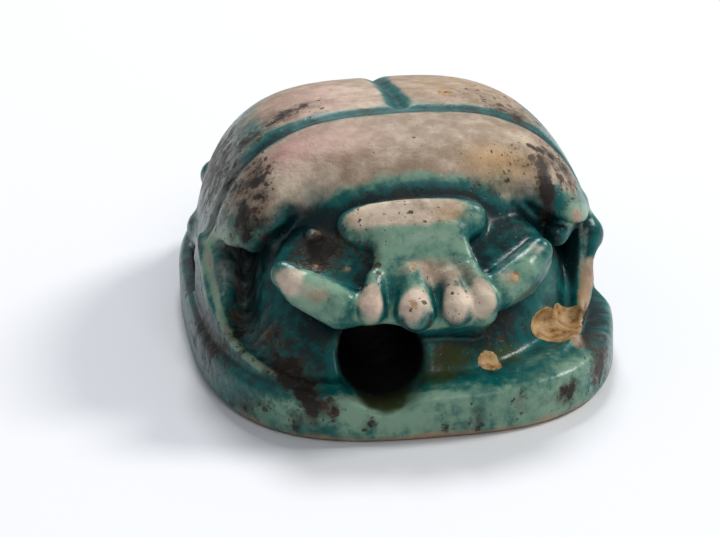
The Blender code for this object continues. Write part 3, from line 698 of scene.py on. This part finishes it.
# Patches: mask + raggedness (noise - 1/2), cut off softly at 1/2. The mask decides where patches grow.
def makePatchesGroup():
    group, given, out = newGroup("patches", [
        ("Vector", "NodeSocketVector", None),
        ("Mask", "NodeSocketFloat", 0.5),
        ("Scale", "NodeSocketFloat", 1.0),
        ("Raggedness", "NodeSocketFloat", 1.0),
        ("Softness", "NodeSocketFloat", 0.1),
    ], [("Amount", "NodeSocketFloat")])
    given = given.outputs
    noise = addNode(group, "ShaderNodeTexNoise", {
        "Vector": given["Vector"], "Scale": given["Scale"], "Detail": 6.0, "Roughness": 0.62})
    centred = mathNode(group, "SUBTRACT", noise.outputs["Fac"], 0.5)
    ragged = mathNode(group, "MULTIPLY", centred, given["Raggedness"])
    summed = mathNode(group, "ADD", given["Mask"], ragged)
    low = mathNode(group, "SUBTRACT", 0.5, given["Softness"])
    high = mathNode(group, "ADD", 0.5, given["Softness"])
    cutOff = addNode(group, "ShaderNodeMapRange", {"Value": summed, "From Min": low, "From Max": high},
                     interpolation_type="SMOOTHSTEP")
    group.links.new(cutOff.outputs["Result"], out.inputs["Amount"])
    return group


# Specks: round spots in the cells of a Voronoi texture, size x mask x chance less the distance from the
# cell's middle, on coordinates that a noise bends a little.
def makeSpecksGroup():
    group, given, out = newGroup("specks", [
        ("Vector", "NodeSocketVector", None),
        ("Mask", "NodeSocketFloat", 0.5),
        ("Scale", "NodeSocketFloat", 4.0),
        ("Size", "NodeSocketFloat", 0.35),
    ], [("Amount", "NodeSocketFloat")])
    given = given.outputs
    warp = addNode(group, "ShaderNodeTexNoise", {"Vector": given["Vector"], "Scale": 6.0, "Detail": 3.0})
    bend = addNode(group, "ShaderNodeVectorMath", {0: warp.outputs["Color"], "Scale": 0.22},
                   operation="SCALE")
    moved = addNode(group, "ShaderNodeVectorMath", {0: given["Vector"], 1: bend.outputs[0]}, operation="ADD")
    cells = addNode(group, "ShaderNodeTexVoronoi", {"Vector": moved.outputs[0], "Scale": given["Scale"]})
    chance = addNode(group, "ShaderNodeSeparateColor", {"Color": cells.outputs["Color"]})
    radius = mathNode(group, "MULTIPLY", chance.outputs["Red"], given["Size"])
    radius = mathNode(group, "MULTIPLY", radius, given["Mask"])
    gap = mathNode(group, "SUBTRACT", radius, cells.outputs["Distance"])
    soft = mathNode(group, "MULTIPLY", gap, 14.0, clamp=True)
    group.links.new(soft, out.inputs["Amount"])
    return group


# Coordinates in millimetres, so that every pattern's scale reads as features per millimetre.
def makeMillimetresGroup():
    group, given, out = newGroup("millimetres", [], [("Vector", "NodeSocketVector")])
    place = addNode(group, "ShaderNodeTexCoord")
    scaled = addNode(group, "ShaderNodeVectorMath", {0: place.outputs["Object"], "Scale": 1000.0},
                     operation="SCALE")
    group.links.new(scaled.outputs[0], out.inputs["Vector"])
    return group


# The glaze and its dirt, with some painted shade and sheen among them. A pattern's mask is multiplied by gain
# and raised by shift, and its scale is features per millimetre. Cover is the share of the colour below that a
# colour hides.
glaze = {
    "colours": {
        "celadon": (0.19, 0.315, 0.225, 1),
        "seaGreen": (0.05, 0.16, 0.12, 1),
        "teal": (0.0015, 0.092, 0.088, 1),
        "deep": (0.002, 0.017, 0.019, 1),
        "olive": (0.036, 0.041, 0.004, 1),
        "cream": (0.64, 0.53, 0.41, 1),
        "beige": (0.26, 0.185, 0.125, 1),
        "blush": (0.52, 0.28, 0.25, 1),
        "amber": (0.56, 0.34, 0.14, 1),
        "rust": (0.20, 0.075, 0.02, 1),
        "broken": (0.50, 0.33, 0.15, 1),
        "stain": (0.055, 0.034, 0.02, 1),
        "fleck": (0.5, 0.5, 0.42, 1),
        "sootAndShade": (0.012, 0.008, 0.006, 1),
        "dustSheenGrey": (0.25, 0.24, 0.21, 1),
        "speck": (0.05, 0.024, 0.01, 1),
        "holeShade": (0.003, 0.0022, 0.0018, 1),
    },
    "cover": {
        "olive": 0.92, "blush": 0.8, "amber": 0.8, "fleck": 0.45, "dustSheenGrey": 0.7, "stain": 0.75,
        "speck": 0.9, "sootAndShade": 0.93,
    },
    "patterns": {
        "cloud": {"gain": 0.5, "shift": 0, "shape": {"Scale": 2.6, "Raggedness": 1.5, "Softness": 0.5}},
        "seaGreen": {"gain": 1, "shift": 0.12, "shape": {"Scale": 0.9, "Raggedness": 0.9, "Softness": 0.3}},
        "teal": {"gain": 1, "shift": -0.02, "shape": {"Scale": 1.2, "Raggedness": 0.9, "Softness": 0.22}},
        "deep": {"gain": 1, "shift": -0.4, "shape": {"Scale": 1.5, "Raggedness": 1.0, "Softness": 0.25}},
        "olive": {"gain": 0.9, "shift": 0, "shape": {"Scale": 1.6, "Raggedness": 0.9, "Softness": 0.3}},
        "bare": {"gain": 1, "shift": 0, "shape": {"Scale": 1.3, "Raggedness": 1.15, "Softness": 0.17}},
        "handled": {
            "gain": -0.62, "shift": 0.74, "shape": {"Scale": 2.0, "Raggedness": 1.4, "Softness": 0.5},
        },
        "film": {"gain": 0.85, "shift": 0, "shape": {"Scale": 2.0, "Raggedness": 1.3, "Softness": 0.3}},
        "stain": {"gain": 0.8, "shift": 0, "shape": {"Scale": 1.3, "Raggedness": 1.5, "Softness": 0.35}},
        "chips": {"gain": 0.9, "shift": 0, "shape": {"Scale": 2.2, "Raggedness": 0.9, "Softness": 0.1}},
        "uneven": {"gain": 0.42, "shift": 0, "shape": {"Scale": 3.6, "Raggedness": 2.4, "Softness": 0.4}},
        "blotches": {"gain": 0.64, "shift": 0, "shape": {"Scale": 1.8, "Raggedness": 1.7, "Softness": 0.14}},
        "streaks": {"gain": 0.5, "shift": 0, "shape": {"Scale": 2.4, "Raggedness": 1.7, "Softness": 0.14}},
        "flecks": {"gain": 0.45, "shift": 0, "shape": {"Scale": 6.0, "Size": 0.3}},
        "dots": {"gain": 1, "shift": 0.14, "shape": {"Scale": 2.6, "Size": 0.62}},
        "grains": {"gain": 1, "shift": 0.16, "shape": {"Scale": 6.5, "Size": 0.7}},
    },
    "relief": {
        "waves": 0.7, "wavesScale": 1.6, "grainScale": 9.0, "bareGrain": 0.22, "grain": 0.05,
        "dirtAndShade": 0.25, "chips": 0.35, "strength": 0.55, "distance": 0.00012,
    },
    "gloss": {"glossy": 0.28, "matt": 0.55, "dirtAndShade": 0.8, "hole": 2.0, "shine": 0.24},
    "clouding": 0.46,
    "grains": 0.8,
    "stretch": (0.8, 2.2, 0.8),
}


# One pattern of the glaze: the group's amount for gain x mask + shift.
def grow(tree, group, name, at, mask):
    pattern = glaze["patterns"][name]
    moved = mathNode(tree, "MULTIPLY", mask, pattern["gain"])
    moved = mathNode(tree, "ADD", moved, pattern["shift"])
    return placeGroup(tree, group, {"Vector": at, "Mask": moved, **pattern["shape"]}).outputs["Amount"]


# The colour below with one of the glaze's colours over it, where the amount says.
def tint(tree, colour, amount, name):
    share = mathNode(tree, "MULTIPLY", amount, glaze["cover"][name])
    return mixColour(tree, share, colour, glaze["colours"][name])


# 1 on the wall of the string hole, away from its ends: the distance from its axis is the hole's radius. There
# the wall gets painted shade.
def insideHole(tree, at):
    bore = scarab["bore"]
    axis = (bore["x"], 0, bore["z"])
    fromAxis = addNode(tree, "ShaderNodeVectorMath", {0: at, 1: axis}, operation="SUBTRACT")
    flat = addNode(tree, "ShaderNodeVectorMath", {0: fromAxis.outputs[0], 1: (1, 0, 1)}, operation="MULTIPLY")
    radius = addNode(tree, "ShaderNodeVectorMath", {0: flat.outputs[0]}, operation="LENGTH")
    onWall = addNode(tree, "ShaderNodeMapRange", {
        "Value": radius.outputs["Value"],
        "From Min": bore["radius"] + bore["clear"], "From Max": bore["radius"] + bore["near"]})
    fromMiddle = mathNode(tree, "ABSOLUTE", addNode(tree, "ShaderNodeSeparateXYZ", {0: at}).outputs["Y"])
    fromEnd = addNode(tree, "ShaderNodeMapRange", {
        "Value": fromMiddle, "From Min": bore["glazedTo"], "From Max": bore["darkFrom"]})
    return mathNode(tree, "MULTIPLY", onWall.outputs["Result"], fromEnd.outputs["Result"])


# Thin glaze is celadon over the stone, thick glaze turns teal and then almost black.
def glazeColour(tree, patches, at, masks, cloud):
    depth = mathNode(tree, "ADD", masks["thickness"], cloud)
    colour = glaze["colours"]["celadon"]
    for name in ("seaGreen", "teal", "deep"):
        colour = mixColour(tree, grow(tree, patches, name, at, depth), colour, glaze["colours"][name])
    return tint(tree, colour, grow(tree, patches, "olive", at, masks["olive"]), "olive")


# Bare stone: cream where it is clean and beige where it is handled, with blush and amber stains.
def stoneColour(tree, patches, at, masks):
    handled = grow(tree, patches, "handled", at, masks["pale"])
    stone = mixColour(tree, handled, glaze["colours"]["cream"], glaze["colours"]["beige"])
    stone = tint(tree, stone, masks["blush"], "blush")
    return tint(tree, stone, masks["amber"], "amber")


# Height: slow waves of the carving tool, fine grain on bare stone, and pits under dirt, chips and the painted
# shade in the string hole.
def glazeRelief(tree, at, bare, dirtAndShade, chips):
    r = glaze["relief"]
    waves = addNode(tree, "ShaderNodeTexNoise", {"Vector": at, "Scale": r["wavesScale"], "Detail": 3.0})
    grain = addNode(tree, "ShaderNodeTexNoise", {"Vector": at, "Scale": r["grainScale"], "Detail": 4.0})
    rough = mathNode(tree, "ADD", mathNode(tree, "MULTIPLY", bare, r["bareGrain"]), r["grain"])
    grained = mathNode(tree, "MULTIPLY", grain.outputs["Fac"], rough)
    height = mathNode(tree, "ADD", mathNode(tree, "MULTIPLY", waves.outputs["Fac"], r["waves"]), grained)
    height = mathNode(tree, "SUBTRACT", height, mathNode(tree, "MULTIPLY", dirtAndShade, r["dirtAndShade"]))
    height = mathNode(tree, "SUBTRACT", height, mathNode(tree, "MULTIPLY", chips, r["chips"]))
    bump = addNode(tree, "ShaderNodeBump", {
        "Height": height, "Strength": r["strength"], "Distance": r["distance"]})
    return bump.outputs["Normal"]


# Glaze, bare stone, flecks, film, stains, chips, dirt and the painted shade in the string hole, laid over
# each other in that order.
def makeGlazedStone(patches, specks, millimetres):
    material = bpy.data.materials.new("glazedStone")
    material.use_nodes = True
    tree = material.node_tree
    shader = tree.nodes["Principled BSDF"]
    colours, gloss = glaze["colours"], glaze["gloss"]
    at = placeGroup(tree, millimetres, {}).outputs["Vector"]
    along = addNode(tree, "ShaderNodeVectorMath", {0: at, 1: glaze["stretch"]}, operation="MULTIPLY")
    along = along.outputs[0]
    masks = {name: attributeNode(tree, name) for name in storedMasks}
    cloud = mathNode(tree, "SUBTRACT", grow(tree, patches, "cloud", at, 1.0), 0.5)
    cloud = mathNode(tree, "MULTIPLY", cloud, glaze["clouding"])

    # The glaze, and where it has worn off the stone under it.
    bare = mathNode(tree, "SUBTRACT", mathNode(tree, "SUBTRACT", masks["worn"], masks["line"]), cloud)
    bare = grow(tree, patches, "bare", at, bare)
    colour = glazeColour(tree, patches, at, masks, cloud)
    colour = mixColour(tree, bare, colour, stoneColour(tree, patches, at, masks))
    colour = tint(tree, colour, grow(tree, specks, "flecks", at, 1.0), "fleck")

    # A grey film where dust has settled into the glaze, and on the left foreleg plate a painted grey sheen;
    # brown stains round the dirt and in the painted shade under the head.
    colour = tint(tree, colour, grow(tree, patches, "film", along, masks["dustAndSheen"]), "dustSheenGrey")
    colour = tint(tree, colour, grow(tree, patches, "stain", at, masks["sootAndShade"]), "stain")

    # Chips down to rusty stone, then dark dirt in blotches, specks and grains, which under the head are
    # painted shade.
    chips = grow(tree, patches, "chips", at, masks["rust"])
    uneven = grow(tree, patches, "uneven", at, 1.0)
    colour = mixColour(tree, chips, colour, mixColour(tree, uneven, colours["broken"], colours["rust"]))
    grains = mathNode(tree, "MULTIPLY", grow(tree, specks, "grains", at, masks["sootAndShade"]), glaze["grains"])
    spots = largest(tree, grow(tree, specks, "dots", at, masks["sootAndShade"]), grains)
    colour = tint(tree, colour, spots, "speck")
    blotches = largest(tree, grow(tree, patches, "blotches", at, masks["sootAndShade"]),
                       grow(tree, patches, "streaks", along, masks["dustAndSheen"]))
    colour = tint(tree, colour, blotches, "sootAndShade")
    # The string hole's wall is painted near-black: painted shade inside the hole.
    inside = insideHole(tree, at)
    colour = mixColour(tree, inside, colour, colours["holeShade"])
    tree.links.new(colour, shader.inputs["Base Color"])

    # Glossy where glaze is left, matt where it is worn, chipped, dirty or inside the string hole.
    dirtAndShade = largest(tree, blotches, spots, inside)
    dull = largest(tree, bare, chips, mathNode(tree, "MULTIPLY", dirtAndShade, gloss["dirtAndShade"]), masks["line"],
                   mathNode(tree, "MULTIPLY", inside, gloss["hole"]))
    rough = addNode(tree, "ShaderNodeMapRange", {
        "Value": dull, "To Min": gloss["glossy"], "To Max": gloss["matt"]})
    tree.links.new(rough.outputs["Result"], shader.inputs["Roughness"])
    shader.inputs["Specular IOR Level"].default_value = gloss["shine"]
    tree.links.new(glazeRelief(tree, at, bare, dirtAndShade, chips), shader.inputs["Normal"])
    return material


floorSettings = {"half": 1.5, "colour": (0.755, 0.765, 0.79, 1), "roughness": 0.6}


# A flat square that the amulet lies on.
def makeFloor():
    h = floorSettings["half"]
    mesh = bpy.data.meshes.new("floor")
    mesh.from_pydata([(-h, -h, 0), (h, -h, 0), (h, h, 0), (-h, h, 0)], [], [(0, 1, 2, 3)])
    floor = bpy.data.objects.new("floor", mesh)
    bpy.context.scene.collection.objects.link(floor)
    material = bpy.data.materials.new("paleFloor")
    material.use_nodes = True
    shader = material.node_tree.nodes["Principled BSDF"]
    shader.inputs["Base Color"].default_value = floorSettings["colour"]
    shader.inputs["Roughness"].default_value = floorSettings["roughness"]
    mesh.materials.append(material)


# Each lamp's side and height in degrees, its distance and size in metres and its power in watts.
lights = {
    "world": (0.88, 0.92, 1.0, 1),
    "worldStrength": 0.34,
    "lamps": {
        "key": {
            "azimuth": 80, "elevation": 43, "distance": 0.5, "size": 0.15, "power": 1.6,
            "colour": (1.0, 0.975, 0.94),
        },
        "front": {
            "azimuth": 165, "elevation": 42, "distance": 0.6, "size": 0.2, "power": 0.6,
            "colour": (1.0, 0.99, 0.97),
        },
        "back": {
            "azimuth": 5, "elevation": 50, "distance": 0.6, "size": 0.18, "power": 2.0,
            "colour": (0.97, 0.98, 1.0),
        },
    },
}


# A direction from its angles: azimuth 0 is +Y, beyond the tail, and 90 is +X, on the camera's right.
def direction(azimuth, elevation):
    a, e = math.radians(azimuth), math.radians(elevation)
    return Vector((math.sin(a) * math.cos(e), math.cos(a) * math.cos(e), math.sin(e)))


# A pale sky and three soft round lamps that face the object.
def makeLights():
    world = bpy.data.worlds.new("studio")
    bpy.context.scene.world = world
    world.use_nodes = True
    sky = world.node_tree.nodes["Background"]
    sky.inputs["Color"].default_value = lights["world"]
    sky.inputs["Strength"].default_value = lights["worldStrength"]
    for name, lamp in lights["lamps"].items():
        data = bpy.data.lights.new(name, "AREA")
        data.shape = "DISK"
        data.size = lamp["size"]
        data.energy = lamp["power"]
        data.color = lamp["colour"]
        thing = bpy.data.objects.new(name, data)
        away = direction(lamp["azimuth"], lamp["elevation"])
        thing.location = away * lamp["distance"]
        thing.rotation_mode = "QUATERNION"
        thing.rotation_quaternion = away.to_track_quat("Z", "Y")
        bpy.context.scene.collection.objects.link(thing)


view = {
    "azimuth": -8.0, "elevation": 22.6, "distance": 0.120, "target": (0, 0, 0.003),
    "lens": 198.3, "roll": -1.1, "aimAside": 0.00764, "aimUp": -0.01009,
}


# The photograph's angle: the camera looks at the target, then is rolled and aimed a little aside.
def makeCamera():
    data = bpy.data.cameras.new("camera")
    data.sensor_width = 36
    data.lens = view["lens"]
    data.clip_start = 0.01
    data.clip_end = 10
    camera = bpy.data.objects.new("camera", data)
    a, e = math.radians(view["azimuth"]), math.radians(view["elevation"])
    back = Vector((math.sin(a) * math.cos(e), -math.cos(a) * math.cos(e), math.sin(e)))
    camera.location = Vector(view["target"]) + back * view["distance"]
    camera.rotation_mode = "QUATERNION"
    turn = (-back).to_track_quat("-Z", "Y") @ Quaternion((0, 0, 1), math.radians(view["roll"]))
    turn = turn @ Quaternion((0, 1, 0), view["aimAside"]) @ Quaternion((1, 0, 0), view["aimUp"])
    camera.rotation_quaternion = turn
    bpy.context.scene.collection.objects.link(camera)
    bpy.context.scene.camera = camera


makeCamera()
makeLights()
print("camera and lamps placed")
patches = makePatchesGroup()
specks = makeSpecksGroup()
millimetres = makeMillimetresGroup()
makeFloor()
carved = makeScarab()
carved.data.materials.append(makeGlazedStone(patches, specks, millimetres))
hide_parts("scarab")
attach(carved, "root")
print("scarab finished")

bpy.context.scene.view_settings.view_transform = "Standard"
